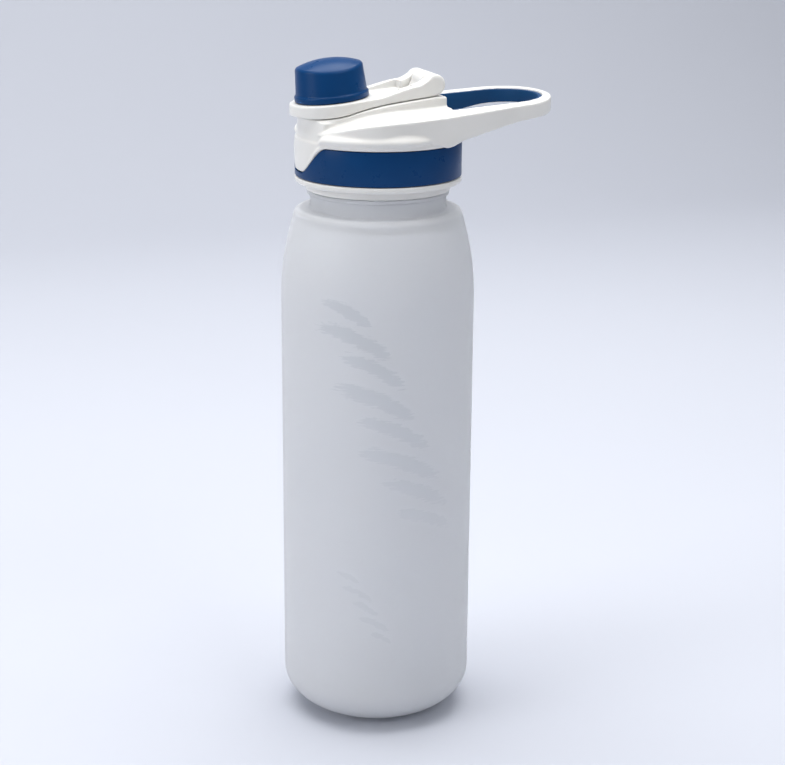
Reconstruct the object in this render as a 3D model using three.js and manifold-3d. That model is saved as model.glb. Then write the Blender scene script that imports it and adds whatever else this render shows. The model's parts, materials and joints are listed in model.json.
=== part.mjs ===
// A 0.7 litre sports bottle: a frosted threaded bottle, a screw lid with a carry loop,
// and a flip strap whose knob closes the drinking spout.
// Millimetres, +Z up. The origin is the centre of the foot, on the bottle's axis.
// The spout is on -X, and the carry loop reaches out over +X.

import * as THREE from "three";
import { mergeVertices } from "three/addons/utils/BufferGeometryUtils.js";
import Module from "manifold-3d";

const wasm = await Module();
wasm.setup();

// ---------------------------------------------------------------- driving sizes

const FIT = 0.3; // gap between pieces that sit on or in each other
const RUNNING = 0.35; // gap round the hinge pin and between the knuckles
const ROUND = 48; // facets round a full turn

// bottle
const bodyRadius = 36.5;
const bodyHeight = 200; // foot to the flat of the shoulder
const bodyWall = 2;
const footCornerWidth = 21;
const footCornerHeight = 15.5;
const footGroove = 0.8; // depth of the ring groove round the foot's middle pad
const shoulderLength = 34;
const shoulderInset = 5.7;
const shoulderCorner = 2.8;

// neck
const neckRoot = 24; // radius of the neck between the threads
const neckWall = 2;
const neckCollar = 1.45; // how far the plain neck stands out from the root
const neckCollarHeight = 5.1;
const beadOut = 1.05; // how far the bead stands out from the plain neck
const beadHeight = 1.7;
const finishHeight = 15.8; // bead to rim

// thread
const pitch = 4;
const threadDepth = 1.2;
const threadThickness = 1.2;
const neckThreadTurns = 1.25;
const capThreadTurns = 1;
const threadFit = 0.4;
const threadStart = 3.4; // above the bead
const threadPhase = 0.05; // where round the neck the thread starts, in radians

// screw cap, collar band and gasket
const skirtWall = 1.4;
const skirtHeight = 2.8;
const capWall = 3.4;
const capRoof = 2;
const ringHeight = 2.3;
const bandThickness = 1.75;
const bandHeight = 12.5;
const gasketThickness = 1.7;
const gasketWidth = 3.2;

// lid shell
const shellWall = 2.2;
const lipHeight = 1.9; // lower moulding, next to the band
const bulgeHeight = 3.5; // second moulding
const tongueDrop = 10.4; // how far the spout-side tongue hangs over the band
const tongueFlat = 6; // degrees either side of the spout where the tongue is lowest
const tongueSpread = 36; // degrees either side where the tongue has gone
const tongueThickness = 1;
const wallDraft = 1.2; // how much the spout-side wall leans in

// carry loop
const loopReach = 34.6; // beyond the collar
const loopCap = 17.8; // length of the rounded end
const armTaperNear = 2.45;
const armTaperFar = 4.95;
const tipWidth = 4;
const armWidth = 10.4;
const loopSlope = 0.069;
const loopTipLow = 10.2; // underside of the loop's tip above the band
const linerThickness = 1.3;
const linerDepth = 0.3; // top of the liner below the loop's top face
const linerLift = 0.5; // bottom of the liner above the loop's underside
const gripInset = 8.7; // how far the loop's opening starts inside the collar

// flip strap, hinge, knob and spout
const spoutInset = 13.15; // the spout's axis inside the collar's edge
const lean = THREE.MathUtils.degToRad(6); // of the spout and knob
const strapEnd = 15.6; // radius of the round end
const strapHinge = 12; // half width at the hinge
const strapThickness = 4.5;
const pocketFloorThickness = 1.8;
const rimWidth = 2.2; // of the strap's rims beside the pocket
const hingeInset = 12.85; // the hinge pin inside the collar's edge
const hingeHeight = 20.5; // above the band
const knuckleRadius = 3.9;
const knuckleSplit = 5.8; // half width of the shell's knuckle
const knuckleTab = 9; // how far the shell's knuckle reaches towards the knob
const pinInset = 1.4; // ends of the pin inside the strap's knuckles
const pinRadius = 1.25;
const knobFlange = 13.7;
const knobFlangeHeight = 2.2;
const knobRadius = 13.2;
const knobTop = 12.3;
const knobHeight = 12.2;
const knobDome = 2.4;
const knobWall = 1.9;
const knobSleeveWall = 1;
const spoutRadius = 9;
const spoutTaper = 0.8;
const spoutWall = 2;
const plugDepth = 3;
const plugFlange = 2;
const spoutFlange = 1.6;
const spoutLedge = 1.3;
const sealThickness = 1.3;

// ---------------------------------------------------------------- worked-out levels

const neckPlain = neckRoot + neckCollar;
const beadBottom = bodyHeight + neckCollarHeight;
const beadTop = beadBottom + beadHeight;
const rim = beadTop + finishHeight;
const capBase = beadTop + FIT;
const ringBottom = capBase + skirtHeight;
const ringTop = ringBottom + ringHeight;
const bandTop = ringTop + FIT + bandHeight;
const shellBase = bandTop + FIT;
const roofUnder = rim + gasketThickness + 2 * FIT;
const roofTop = roofUnder + capRoof;

const capBore = neckRoot + threadDepth + threadFit;
const capOuter = capBore + capWall;
const collarRadius = capOuter + FIT + bandThickness;
const mouthRadius = neckRoot - neckWall;

const spoutOffset = collarRadius - spoutInset;
const hingeX = collarRadius - hingeInset;
const hingeZ = shellBase + hingeHeight;
const loopTip = collarRadius + loopReach;
const loopStart = collarRadius - gripInset;

// ---------------------------------------------------------------- helpers

function solid(geometry) {
  const bare = geometry.index ? geometry.toNonIndexed() : geometry.clone();
  bare.deleteAttribute("normal");
  bare.deleteAttribute("uv");
  const merged = mergeVertices(bare, 1e-4);
  return new wasm.Manifold(
    new wasm.Mesh({
      numProp: 3,
      vertProperties: merged.attributes.position.array,
      triVerts: new Uint32Array(merged.index.array),
    }),
  );
}

// Profile points are [radius, height], going round anticlockwise.
function turned(points, { closed = true, facets = ROUND } = {}) {
  const profile = points.map(([r, z]) => new THREE.Vector2(r, z));
  if (closed) profile.push(profile[0].clone());
  return solid(new THREE.LatheGeometry(profile, facets).rotateX(Math.PI / 2));
}

function disc(radius, low, high, facets = ROUND) {
  const profile = [
    [0, low],
    [radius, low],
    [radius, high],
    [0, high],
  ];
  return turned(profile, { closed: false, facets });
}

function tube(inner, outer, low, high, facets = ROUND) {
  const profile = [
    [inner, low],
    [outer, low],
    [outer, high],
    [inner, high],
  ];
  return turned(profile, { facets });
}

function plan(shape, low, high, curveSegments = 12) {
  const settings = { depth: high - low, bevelEnabled: false, curveSegments };
  return solid(new THREE.ExtrudeGeometry(shape, settings).translate(0, 0, low));
}

// A shape drawn in X and Z, as wide as asked along Y.
function profileAcross(shape, width, middle = 0) {
  const settings = { depth: width, bevelEnabled: false, curveSegments: 16 };
  const bar = new THREE.ExtrudeGeometry(shape, settings).rotateX(Math.PI / 2);
  return solid(bar.translate(0, middle + width / 2, 0));
}

function rod(radius, width, x, z, middle = 0, facets = 16) {
  const round = new THREE.Shape();
  round.absarc(x, z, radius, 0, 2 * Math.PI);
  const settings = { depth: width, bevelEnabled: false, curveSegments: facets };
  const bar = new THREE.ExtrudeGeometry(round, settings).rotateX(Math.PI / 2);
  return solid(bar.translate(0, middle + width / 2, 0));
}

function polygon(points) {
  return new THREE.Shape(points.map(([x, y]) => new THREE.Vector2(x, y)));
}

// The leaning frame shared by the spout, the knob and their seals.
const knobSeat = new THREE.Vector3(-spoutOffset, 0, 0);
function leaning(made) {
  const { x, z } = knobSeat;
  return made.rotate([0, THREE.MathUtils.radToDeg(-lean), 0]).translate([x, 0, z]);
}

// A screw thread: a trapezoid wound round the axis, its ends run out thin.
function thread(root, crest, start, turns) {
  const thick = threadThickness;
  const height = Math.abs(crest - root);
  const sign = Math.sign(crest - root);
  const sink = 0.8;
  const section = polygon([
    [-sink, -thick / 2],
    [height, -thick / 4],
    [height, thick / 4],
    [-sink, thick / 2],
  ]);
  const steps = Math.round(turns * 24);
  const settings = { depth: 1, steps, bevelEnabled: false };
  const bar = new THREE.ExtrudeGeometry(section, settings);
  const at = bar.attributes.position;
  for (let i = 0; i < at.count; i++) {
    const along = at.getZ(i);
    const runOut = Math.min(1, 0.15 + 10 * Math.min(along, 1 - along));
    const out = at.getX(i) < 0 ? -sink : at.getX(i) * runOut;
    const angle = threadPhase + 2 * Math.PI * turns * along;
    const radius = root + sign * out;
    const z = start + pitch * turns * along + at.getY(i);
    at.setXYZ(i, radius * Math.cos(angle), radius * Math.sin(angle), z);
  }
  if (sign > 0) flip(bar); // radius, height and angle make a left-handed set
  return solid(bar);
}

function flip(geometry) {
  const at = geometry.attributes.position;
  for (let i = 0; i < at.count; i += 3) {
    const b = new THREE.Vector3().fromBufferAttribute(at, i + 1);
    const c = new THREE.Vector3().fromBufferAttribute(at, i + 2);
    at.setXYZ(i + 1, c.x, c.y, c.z);
    at.setXYZ(i + 2, b.x, b.y, b.z);
  }
}

function joined(first, ...rest) {
  return rest.reduce((sum, next) => sum.add(next), first);
}

const bottle = new THREE.Group();

function piece(name, made, colour, roughness, metalness = 0) {
  const mesh = made.getMesh();
  const geometry = new THREE.BufferGeometry();
  geometry.setAttribute("position", new THREE.BufferAttribute(mesh.vertProperties, 3));
  geometry.setIndex(new THREE.BufferAttribute(mesh.triVerts, 1));
  geometry.computeVertexNormals();
  const material = new THREE.MeshStandardMaterial({ color: colour, roughness, metalness });
  const node = new THREE.Mesh(geometry, material);
  node.name = name;
  bottle.add(node);
  return made;
}

const WHITE = 0xf2efe8;
const BLUE = 0x14406e;
const FROST = 0xdfe2ee;
const CLEAR_RUBBER = 0xe9ebee;
const STEEL = 0xb9bcc0;

// ---------------------------------------------------------------- bottle

// The shoulder narrows as a parabola, then turns in over a small corner to the neck.
function bottleOutside() {
  const foot = bodyRadius - footCornerWidth;
  const outside = [
    [0, 0],
    [0.62 * foot, 0],
    [0.7 * foot, footGroove],
    [0.8 * foot, footGroove],
    [0.88 * foot, 0],
  ];
  for (let i = 0; i <= 8; i++) {
    const turn = (i / 8) * (Math.PI / 2);
    const radius = foot + footCornerWidth * Math.sin(turn);
    outside.push([radius, footCornerHeight * (1 - Math.cos(turn))]);
  }
  const shoulderBase = bodyHeight - shoulderLength;
  const shoulderRadius = bodyRadius - shoulderInset;
  const cornerStart = 1 - shoulderCorner / shoulderLength;
  for (let i = 0; i <= 6; i++) {
    const up = (i / 6) * cornerStart;
    outside.push([bodyRadius - shoulderInset * up ** 2, shoulderBase + shoulderLength * up]);
  }
  for (const degrees of [30, 60, 90]) {
    const turn = THREE.MathUtils.degToRad(degrees);
    outside.push([
      shoulderRadius - shoulderCorner * (1 - Math.cos(turn)),
      bodyHeight - shoulderCorner * (1 - Math.sin(turn)),
    ]);
  }
  return outside;
}

function bottleInside() {
  const room = bodyRadius - bodyWall;
  const corner = footCornerWidth - bodyWall;
  const floor = footGroove + bodyWall;
  const shoulderBase = bodyHeight - shoulderLength;
  const inside = [[mouthRadius, rim]];
  inside.push([mouthRadius, bodyHeight - bodyWall - shoulderCorner]);
  for (let i = 5; i >= 0; i--) {
    const up = (i / 6) * (1 - shoulderCorner / shoulderLength);
    inside.push([room - shoulderInset * up ** 2, shoulderBase + shoulderLength * up]);
  }
  for (let i = 6; i >= 0; i--) {
    const turn = (i / 6) * (Math.PI / 2);
    const radius = room - corner + corner * Math.sin(turn);
    inside.push([radius, floor + (footCornerHeight - bodyWall) * (1 - Math.cos(turn))]);
  }
  inside.push([0, floor]);
  return inside;
}

const neckOutside = [
  [neckPlain, bodyHeight],
  [neckPlain, beadBottom],
  [neckPlain + beadOut, beadBottom + 0.35],
  [neckPlain + beadOut, beadTop - 0.35],
  [neckPlain + beadOut - 0.35, beadTop],
  [neckRoot, beadTop],
  [neckRoot, rim - 0.4],
  [neckRoot - 0.4, rim],
];
const vessel = turned([...bottleOutside(), ...neckOutside, ...bottleInside()], {
  closed: false,
});
const neckThread = thread(
  neckRoot,
  neckRoot + threadDepth,
  beadTop + threadStart + pitch / 2,
  neckThreadTurns,
);
piece("bottle_body", vessel.add(neckThread), FROST, 0.45);

// ---------------------------------------------------------------- flip strap profile

// Underside of the strap, as [x, height above the band]; the shell's top follows it.
const spoutEnd = -spoutOffset - strapEnd;
const partingLine = [
  [spoutEnd - 1, 9.6],
  [-spoutOffset - 0.55 * strapEnd, 9.8],
  [-spoutOffset, 10.9],
  [-0.56 * spoutOffset, 12.8],
  [-0.11 * spoutOffset, 14.3],
  [0.44 * hingeX, 15.5],
  [hingeX, hingeHeight - knuckleRadius],
].map(([x, height]) => new THREE.Vector2(x, shellBase + height));
const parting = new THREE.SplineCurve(partingLine).getPoints(16);

function partingAt(x) {
  const next = parting.findIndex((point) => point.x >= x);
  const a = parting[Math.max(0, next - 1)];
  const b = parting[Math.max(1, next)];
  return a.y + ((b.y - a.y) * (x - a.x)) / (b.x - a.x);
}
knobSeat.z = partingAt(-spoutOffset) + strapThickness + FIT;

// All that lies under the parting line, down to `low`, lowered by `drop`.
function underParting(low, drop, end) {
  const outline = parting.map((p) => [p.x, p.y - drop]);
  const last = parting[parting.length - 1];
  outline.push([end, last.y - drop], [end, low], [spoutEnd - 1, low]);
  return profileAcross(polygon(outline.reverse()), 4 * collarRadius);
}

function strapPlan(inset, reach) {
  const round = strapEnd - inset;
  const narrow = strapHinge - inset;
  const swing = Math.asin((round - narrow) / (reach + spoutOffset));
  const shape = new THREE.Shape();
  shape.absarc(-spoutOffset, 0, round, Math.PI / 2 - swing, 1.5 * Math.PI + swing);
  shape.lineTo(reach, -narrow);
  shape.lineTo(reach, narrow);
  return shape;
}

// ---------------------------------------------------------------- screw cap and seals

const capProfile = [
  [capBore, capBase],
  [capBore + skirtWall, capBase],
  [capBore + skirtWall, ringBottom],
  [collarRadius - 0.4, ringBottom],
  [collarRadius + 0.1, ringBottom + 0.5],
  [collarRadius + 0.1, ringTop - 0.3],
  [collarRadius - 0.2, ringTop],
  [capOuter, ringTop],
  [capOuter, roofTop],
  [0, roofTop],
];
const capInside = [
  [0, roofUnder],
  [capBore, roofUnder],
];
// The profile runs from the inner corner, out, up and over, and back along the roof.
const capShell = turned([...capInside, ...capProfile], { closed: false });
const seatLow = roofTop + 2.2 - knobSeat.z;
const bore = spoutRadius - spoutWall;
const capSeat = leaning(disc(spoutRadius + 1.6, seatLow - 6, seatLow + 0.4, 48));
const aboveRoof = disc(4 * collarRadius, roofUnder + 0.6, hingeZ);
const passage = leaning(disc(bore - 0.3, seatLow - 12, seatLow + 6, 40));
const mouthLimit = disc(mouthRadius - 1.8, capBase, hingeZ);
const capThread = thread(
  capBore,
  capBore - threadDepth,
  beadTop + threadStart + pitch,
  capThreadTurns,
);
const screwCap = joined(capShell, capSeat.intersect(aboveRoof), capThread).subtract(
  passage.intersect(mouthLimit),
);
piece("screw_cap", screwCap, WHITE, 0.5);

const gasketLow = rim + FIT;
piece(
  "cap_gasket",
  tube(
    neckRoot - gasketWidth,
    neckRoot,
    gasketLow,
    gasketLow + gasketThickness,
    48,
  ),
  CLEAR_RUBBER,
  0.7,
);

// ---------------------------------------------------------------- collar band

// How far the tongue hangs below the shell's edge, by angle from the spout.
function tongueAt(x, y) {
  const fromSpout = Math.abs(THREE.MathUtils.radToDeg(Math.atan2(y, -x)));
  const rise = THREE.MathUtils.smoothstep(fromSpout, tongueFlat, tongueSpread);
  return tongueDrop * (1 - rise);
}

// A ring whose lower edge follows the tongue.
function tongueRing(inner, outer, top, gap) {
  const facets = 60;
  const low = shellBase - gap;
  const profile = [
    [inner, low],
    [outer, low],
    [outer, top],
    [inner, top],
    [inner, low],
  ].map(([r, z]) => new THREE.Vector2(r, z));
  const ring = new THREE.LatheGeometry(profile, facets).rotateX(Math.PI / 2);
  const at = ring.attributes.position;
  for (let i = 0; i < at.count; i++) {
    if (Math.abs(at.getZ(i) - low) > 0.01) continue;
    at.setZ(i, low - tongueAt(at.getX(i), at.getY(i)));
  }
  return solid(ring);
}

const bandInner = capOuter + FIT;
const bandRing = tube(bandInner, collarRadius, ringTop + FIT, bandTop, 60);
const tongueInner = collarRadius - tongueThickness;
const bandCut = tongueRing(tongueInner - FIT, collarRadius + 2, bandTop + 1, FIT);
piece("collar_band", bandRing.subtract(bandCut), BLUE, 0.4);

// ---------------------------------------------------------------- carry loop

// Half of the loop's outline in plan, from the spout side to the tip.
function loopPlan(inset) {
  const polar = (degrees, out) => {
    const turn = THREE.MathUtils.degToRad(degrees);
    const radius = collarRadius + out - inset;
    return [-radius * Math.cos(turn), radius * Math.sin(turn)];
  };
  const capStart = loopTip - loopCap;
  const near = collarRadius - armTaperNear - inset;
  const far = collarRadius - armTaperFar - inset;
  const side = [
    polar(0, 0),
    polar(25, 0),
    polar(48, 0.6),
    polar(70, 1.4),
    polar(90, 0.2),
    [0.5 * collarRadius, near + 1.3],
    [collarRadius, near],
    [capStart, far],
  ];
  const curve = new THREE.SplineCurve(side.map(([x, y]) => new THREE.Vector2(x, y)));
  const half = curve.getPoints(24);
  const cap = loopCap - inset;
  for (let i = 1; i <= 8; i++) {
    const turn = (i / 8) * (Math.PI / 2);
    half.push(new THREE.Vector2(capStart + cap * Math.sin(turn), far * Math.cos(turn)));
  }
  const other = half.slice(1, -1).reverse();
  return new THREE.Shape([...half, ...other.map((p) => new THREE.Vector2(p.x, -p.y))]);
}

// The loop's opening in plan: flat at the lid, round at the tip.
function gripPlan(outset, start) {
  const capStart = loopTip - loopCap;
  const near = collarRadius - armTaperNear - armWidth + outset;
  const far = near - 0.4;
  const round = loopCap - tipWidth + outset;
  const shape = new THREE.Shape();
  shape.moveTo(start, -near);
  shape.lineTo(capStart, -far);
  shape.absellipse(capStart, 0, round, far, -Math.PI / 2, Math.PI / 2);
  shape.lineTo(start, near);
  return shape;
}

const loopTopAt = (x) => shellBase + 11.1 + loopSlope * x;
const sweepStart = 0.45 * collarRadius;
const underside = [
  [collarRadius - 11.5, shellBase + 1],
  [collarRadius - 8.5, shellBase + 2.5],
  [collarRadius - 4, shellBase + 3.6],
  [collarRadius + 3, shellBase + 5.4],
  [collarRadius + 10.5, shellBase + 7.2],
  [collarRadius + 18, shellBase + 8.6],
  [loopTip, shellBase + loopTipLow],
];
const loopSide = polygon([
  [-1.1 * collarRadius, shellBase + 4.3],
  [sweepStart - 10, shellBase + 4.6],
  [sweepStart, shellBase + 0.3],
  ...underside,
  [loopTip + 1, loopTopAt(loopTip)],
  [0, loopTopAt(0)],
  [-14.5, loopTopAt(0) - 1.8],
  [-20.6, loopTopAt(0) - 4],
  [-28, loopTopAt(0) - 6.2],
  [-1.1 * collarRadius, shellBase + 4.6],
]);
const loopTall = plan(loopPlan(0), shellBase - 1, loopTopAt(loopTip) + 2);
const loopBody = loopTall.intersect(profileAcross(loopSide, 4 * collarRadius));
const gripWall = linerThickness + FIT;
const bulgeTop = shellBase + lipHeight + bulgeHeight;
const collarBlock = disc(collarRadius + 0.7, shellBase - 5, bulgeTop);
const gripTall = plan(gripPlan(0, loopStart), shellBase - 4, hingeZ);
const gripHole = gripTall.subtract(collarBlock);

// The liner lines the opening, from just below the loop's top down to its underside.
const outsideCollar = underside.filter(([x]) => x > collarRadius);
function linerBand(top, bottom, shape) {
  const start = loopStart - 2;
  const band = polygon([
    [start, bulgeTop + bottom],
    ...outsideCollar.map(([x, z]) => [x, z + bottom]),
    [loopTip, loopTopAt(loopTip) - top],
    [start, loopTopAt(start) - top],
  ]);
  const tall = plan(shape, shellBase - 4, hingeZ);
  return tall.intersect(profileAcross(band, 4 * collarRadius));
}
const linerEnd = loopStart + FIT;
const recess = linerBand(-5, -30, gripPlan(gripWall, loopStart)).subtract(collarBlock);
const linerOuter = linerBand(linerDepth, linerLift, gripPlan(linerThickness, linerEnd));
const linerInner = plan(gripPlan(0, linerEnd - 3), shellBase - 4, hingeZ);
piece("loop_liner", linerOuter.subtract(linerInner), BLUE, 0.55);

// ---------------------------------------------------------------- lid shell

const collarProfile = [
  [bandInner, shellBase],
  [collarRadius + 0.2, shellBase],
  [collarRadius + 0.55, shellBase + 0.5],
  [collarRadius + 0.45, shellBase + lipHeight - 0.4],
  [collarRadius - 0.3, shellBase + lipHeight],
  [collarRadius + 0.1, shellBase + lipHeight + 0.9],
  [collarRadius - 0.1, bulgeTop - 0.9],
  [collarRadius - 1, bulgeTop],
  [bandInner - shellWall, bulgeTop],
  [bandInner - shellWall, roofTop + FIT],
  [bandInner, roofTop + FIT],
];
const shellCollar = turned(collarProfile);
const tongue = tongueRing(tongueInner, collarRadius, shellBase + 1, 0);

// The body under the strap: the collar's arc at the spout, then as wide as the strap.
function bodyPlan(inset) {
  const radius = collarRadius - wallDraft - inset;
  const wide = strapEnd - inset;
  const narrow = strapHinge + 0.6 - inset;
  const swing = Math.asin(wide / radius);
  const shape = new THREE.Shape();
  shape.absarc(0, 0, radius, Math.PI - swing, Math.PI + swing);
  shape.lineTo(-0.3 * spoutOffset, -wide);
  shape.lineTo(loopStart - inset, -narrow);
  shape.lineTo(loopStart - inset, narrow);
  shape.lineTo(-0.3 * spoutOffset, wide);
  return shape;
}
const bodyTop = underParting(shellBase, FIT, loopStart + 1);
const upperBody = plan(bodyPlan(0), shellBase + 1, hingeZ).intersect(bodyTop);

// The webs beside the body join it to the loop's arms.
function webs(radius, low, drop) {
  const top = loopTopAt(0) - drop;
  const side = polygon([
    [-collarRadius, low],
    [loopStart - drop, low],
    [loopStart - drop, loopTopAt(loopStart) - drop],
    [0, top],
    [-14.5, top - 1.8],
    [-collarRadius, Math.max(low + 0.1, shellBase + 4 - drop)],
  ]);
  const across = profileAcross(side, 4 * collarRadius);
  return disc(radius, low, hingeZ, 60).intersect(across);
}

// The hollow is open at the bottom, over the screw cap's roof.
const hollowRadius = bandInner - shellWall;
const hollowLow = disc(hollowRadius, shellBase - 1, bulgeTop - shellWall);
const hollowWebs = webs(hollowRadius - 0.5, roofTop, shellWall);
const collarHollow = disc(bandInner, shellBase - 1, roofTop + FIT);
const hollowTop = underParting(shellBase, FIT + shellWall, loopStart + 1);
const hollowHigh = plan(bodyPlan(shellWall), shellBase, hingeZ).intersect(hollowTop);
const spoutHole = leaning(disc(spoutRadius + FIT, -14, 14, 32));

const tabEnd = hingeX - knuckleTab;
const knuckleFoot = polygon([
  [tabEnd, shellBase + 12],
  [hingeX + knuckleRadius - 0.4, shellBase + 12],
  [hingeX + knuckleRadius - 0.4, hingeZ],
  [hingeX - 2.6, hingeZ + 2.8],
  [hingeX - knuckleRadius - 1, partingAt(tabEnd) + pocketFloorThickness + 1],
  [tabEnd, partingAt(tabEnd) + pocketFloorThickness],
]);
const shellKnuckle = joined(
  rod(knuckleRadius, 2 * (knuckleSplit - RUNNING), hingeX, hingeZ),
  profileAcross(knuckleFoot, 2 * (knuckleSplit - RUNNING)),
);
const pinHalf = strapHinge - pinInset;
const pinHole = rod(pinRadius + RUNNING, 2 * (pinHalf + FIT), hingeX, hingeZ, 0, 8);
const lidShell = joined(
  joined(shellCollar, tongue, loopBody, upperBody, webs(collarRadius - 1, shellBase + 1, 0))
    .subtract(gripHole)
    .subtract(recess)
    .subtract(collarHollow)
    .subtract(hollowLow)
    .subtract(hollowWebs)
    .subtract(hollowHigh)
    .subtract(spoutHole),
  shellKnuckle,
).subtract(pinHole);
piece("lid_shell", lidShell, WHITE, 0.5);

// ---------------------------------------------------------------- spout and seal

const spoutTop = knobHeight - knobWall - plugFlange - 2 * FIT;
const sealLow = seatLow + 0.4 + FIT;
const flangeLow = sealLow + sealThickness + FIT;
piece(
  "spout_seal",
  leaning(tube(bore, spoutRadius + 0.6, sealLow, sealLow + sealThickness, 40)),
  CLEAR_RUBBER,
  0.7,
);
const spoutProfile = [
  [bore, flangeLow],
  [spoutRadius + spoutLedge, flangeLow],
  [spoutRadius + spoutLedge, flangeLow + spoutFlange],
  [spoutRadius, flangeLow + spoutFlange],
  [spoutRadius - spoutTaper, spoutTop - 0.5],
  [spoutRadius - spoutTaper - 0.5, spoutTop],
  [bore, spoutTop],
];
piece("drink_spout", leaning(turned(spoutProfile, { facets: 32 })), WHITE, 0.35);

// ---------------------------------------------------------------- flip strap

// The strap's top is flat and leaning under the knob, then sweeps up to the hinge.
const knobEdge = -spoutOffset + knobFlange + 1;
const seatAt = (x) => knobSeat.z - FIT + Math.tan(lean) * (x + spoutOffset);
const strapSide = [
  ...parting.map((p) => [p.x, p.y]),
  [hingeX, hingeZ],
  [hingeX - 2.2, hingeZ + 2.6],
  [hingeX - 6, partingAt(hingeX - 6) + strapThickness + 0.4],
  [(knobEdge + hingeX) / 2, partingAt((knobEdge + hingeX) / 2) + strapThickness],
  [knobEdge, seatAt(knobEdge)],
  [parting[0].x, seatAt(parting[0].x)],
];
const strapTall = plan(strapPlan(0, hingeX), shellBase, hingeZ + knuckleRadius);
const strapBody = strapTall.intersect(profileAcross(polygon(strapSide), 4 * strapEnd));
const knuckleWidth = strapHinge - knuckleSplit;
const knuckleMiddle = knuckleSplit + knuckleWidth / 2;
const knuckles = joined(
  rod(knuckleRadius, knuckleWidth, hingeX, hingeZ, knuckleMiddle),
  rod(knuckleRadius, knuckleWidth, hingeX, hingeZ, -knuckleMiddle),
);
const notch = profileAcross(
  polygon([
    [tabEnd - RUNNING, shellBase],
    [hingeX + 2 * knuckleRadius, shellBase],
    [hingeX + 2 * knuckleRadius, hingeZ + 2 * knuckleRadius],
    [tabEnd - RUNNING, hingeZ + 2 * knuckleRadius],
  ]),
  2 * knuckleSplit,
);
const sleeveOuter = knobFlange - 1.7;
const knobHole = leaning(disc(sleeveOuter + FIT, -12, 12, 40));
const pocketStart = -spoutOffset + knobFlange + 1.2;
const pocketEnd = tabEnd + 1;
const pocketFloor = profileAcross(
  polygon([
    ...parting.map((p) => [p.x, p.y + pocketFloorThickness]),
    [hingeX, hingeZ + 9],
    [parting[0].x, hingeZ + 9],
  ]),
  4 * strapEnd,
);
const pocketPlan = polygon([
  [pocketStart, -strapHinge + rimWidth],
  [pocketEnd, -strapHinge + rimWidth],
  [pocketEnd, strapHinge - rimWidth],
  [pocketStart, strapHinge - rimWidth],
]);
const pocket = plan(pocketPlan, shellBase, hingeZ + 9).intersect(pocketFloor);
const flipStrap = joined(strapBody.subtract(knobHole).subtract(pocket).subtract(notch), knuckles)
  .subtract(pinHole);
piece("flip_strap", flipStrap, WHITE, 0.5);

piece("hinge_pin", rod(pinRadius, 2 * pinHalf, hingeX, hingeZ, 0, 8), STEEL, 0.3, 1);

// ---------------------------------------------------------------- knob and plug

const sleeveInner = sleeveOuter - knobSleeveWall;
// The sleeve's deepest edge stays clear of the shell's top, which rises towards the hinge.
const sleeveEdge = partingAt(sleeveOuter - spoutOffset) + FIT;
const sleeveLow = sleeveEdge - knobSeat.z - sleeveOuter * Math.tan(lean);
const knobProfile = [
  [0, knobHeight - knobWall],
  [sleeveInner, knobHeight - knobWall],
  [sleeveInner, sleeveLow],
  [sleeveOuter, sleeveLow],
  [sleeveOuter, 0],
  [knobFlange, 0],
  [knobFlange, knobFlangeHeight],
  [knobRadius, knobFlangeHeight + 0.5],
  [knobTop + 0.1, knobHeight - 0.7],
  [knobTop - 0.6, knobHeight],
  [0.75 * knobTop, knobHeight + 0.42 * knobDome],
  [0.4 * knobTop, knobHeight + 0.84 * knobDome],
  [0, knobHeight + knobDome],
];
piece("knob_cap", leaning(turned(knobProfile, { closed: false, facets: 40 })), BLUE, 0.4);

const plugProfile = [
  [0, spoutTop + FIT - plugDepth],
  [bore - 0.9, spoutTop + FIT - plugDepth],
  [bore - 0.4, spoutTop + FIT - plugDepth + 0.8],
  [bore - 0.4, spoutTop + FIT],
  [sleeveInner - FIT, spoutTop + FIT],
  [sleeveInner - FIT, spoutTop + FIT + plugFlange],
  [0, spoutTop + FIT + plugFlange],
];
piece("knob_plug", leaning(turned(plugProfile, { closed: false, facets: 32 })), CLEAR_RUBBER, 0.7);

export default bottle;
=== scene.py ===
# %% [markdown]
# # A frosted sports bottle with a screw lid, a carry loop and a flip spout
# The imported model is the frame: it says where each piece is and how it moves. Each piece is
# modelled again here with a fine surface, and takes the place of the frame's plain solid.

# %% Load the frame
import json
import math

import bmesh
import bpy
from mathutils import Matrix, Vector


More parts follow.
